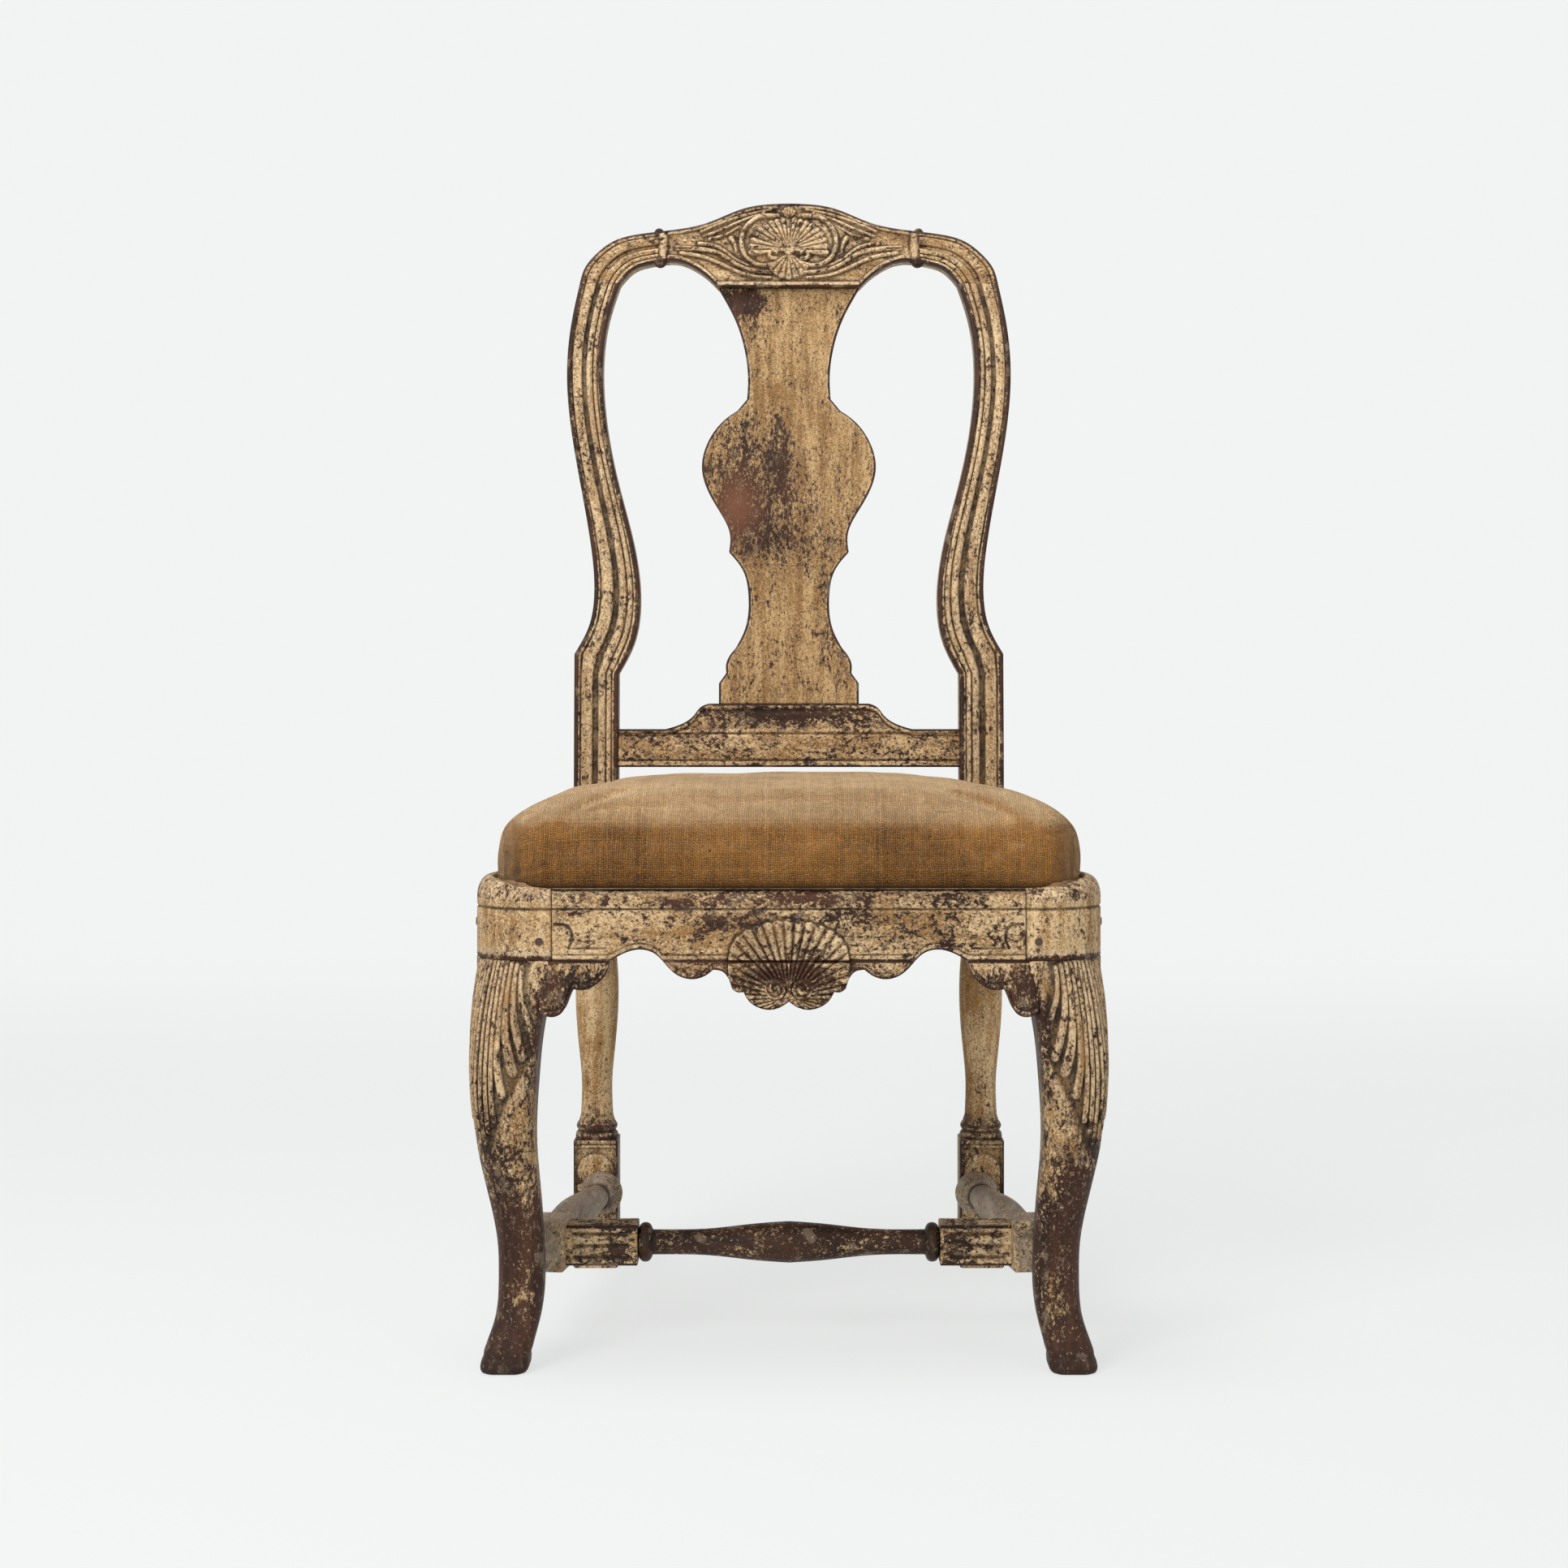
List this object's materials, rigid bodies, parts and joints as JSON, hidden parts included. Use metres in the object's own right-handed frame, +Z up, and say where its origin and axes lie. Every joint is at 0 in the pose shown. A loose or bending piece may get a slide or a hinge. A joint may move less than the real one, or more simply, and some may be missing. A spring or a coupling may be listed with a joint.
{
  "type": "rococo chair",
  "caption": "Carved and painted rococo side chair with cabriole front legs, vase splat, H stretcher and a burlap-covered drop-in seat that lifts out.",
  "frame": {"origin": "on the floor under the middle of the chair's overall box", "axes": "+X to the viewer's right, the chair faces -Y, +Z up"},
  "size_m": [0.518, 0.5338, 1.032],
  "materials": {
    "painted_wood": "old ochre-cream paint, chipped to dark wood",
    "worn_wood": "dark bare wood with flecks of paint",
    "slat_wood": "bare softwood",
    "jute_webbing": "woven jute",
    "sackcloth": "plain weave",
    "stuffing": "loose fibre",
    "burlap": "coarse plain weave",
    "iron_tacks": "dull"
  },
  "bodies": {
    "chair_frame": {"front_leg_left": "painted_wood", "front_leg_right": "painted_wood", "rear_post_left": "painted_wood", "rear_post_right": "painted_wood", "front_rail": "painted_wood", "side_rail_left": "painted_wood", "side_rail_right": "painted_wood", "rear_rail": "painted_wood", "front_bracket_left": "painted_wood", "front_bracket_right": "painted_wood", "side_bracket_left": "painted_wood", "side_bracket_right": "painted_wood", "lower_back_rail": "painted_wood", "splat": "painted_wood", "crest_rail": "painted_wood", "apron_drop": "worn_wood", "side_stretcher_left": "worn_wood", "side_stretcher_right": "worn_wood", "cross_stretcher": "worn_wood", "front_rail_pegs": "worn_wood", "side_rail_pegs": "worn_wood", "back_pegs": "worn_wood"},
    "drop_in_seat": {"seat_slat_front": "slat_wood", "seat_slat_rear": "slat_wood", "seat_slat_left": "slat_wood", "seat_slat_right": "slat_wood", "webbing_lengthwise": "jute_webbing", "webbing_crosswise": "jute_webbing", "base_cloth": "sackcloth", "seat_stuffing": "stuffing", "seat_cover": "burlap", "cover_tacks": "iron_tacks"}
  },
  "joints": [
    {"name": "seat_lift", "type": "slide", "parent": "chair_frame", "child": "drop_in_seat", "axis": [0, 0, 1], "range_m": [0, 0.12]}
  ]
}
